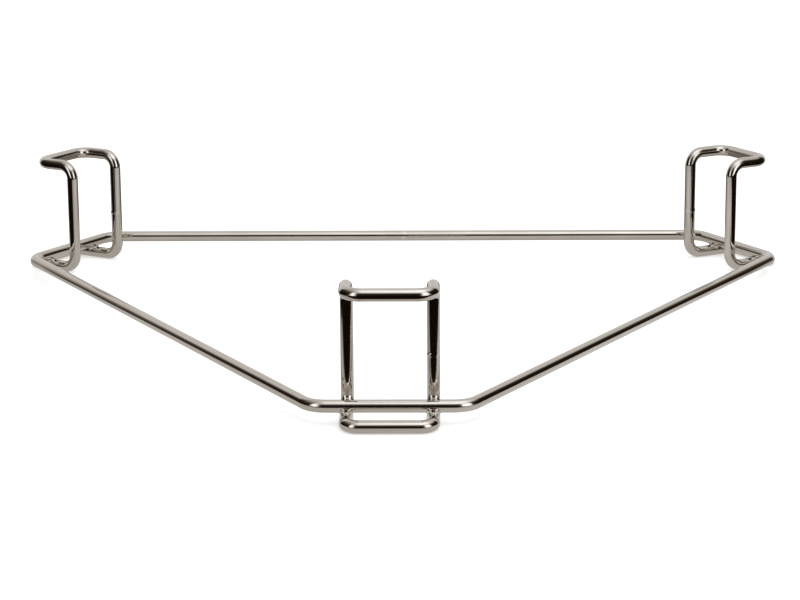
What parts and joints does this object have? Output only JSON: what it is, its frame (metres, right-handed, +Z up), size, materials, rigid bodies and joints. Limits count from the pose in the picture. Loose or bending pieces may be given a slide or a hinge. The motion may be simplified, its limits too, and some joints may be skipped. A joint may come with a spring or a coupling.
{
  "type": "frame grip",
  "caption": "Rigid plated wire frame: a flat six-sided ring with an upright outward-facing C-shaped clip welded across each short side.",
  "frame": {"origin": "centre of the ring, on the surface the clips' toes stand on", "axes": "+Z up, +X to the right and +Y to the back, so the front clip's mouth opens along -Y"},
  "size_m": [0.3508, 0.3137, 0.0532],
  "materials": {
    "plated_wire": "bright polished nickel plating over steel wire",
    "plated_weld": "nickel plating over dressed weld metal"
  },
  "bodies": {
    "root": {"base_ring": "plated_wire", "front_clip": "plated_wire", "right_clip": "plated_wire", "left_clip": "plated_wire", "ring_butt_weld": "plated_weld", "front_clip_butt_weld": "plated_weld", "front_clip_left_foot_weld": "plated_weld", "front_clip_right_foot_weld": "plated_weld", "right_clip_butt_weld": "plated_weld", "right_clip_left_foot_weld": "plated_weld", "right_clip_right_foot_weld": "plated_weld", "left_clip_butt_weld": "plated_weld", "left_clip_left_foot_weld": "plated_weld", "left_clip_right_foot_weld": "plated_weld"}
  },
  "joints": []
}
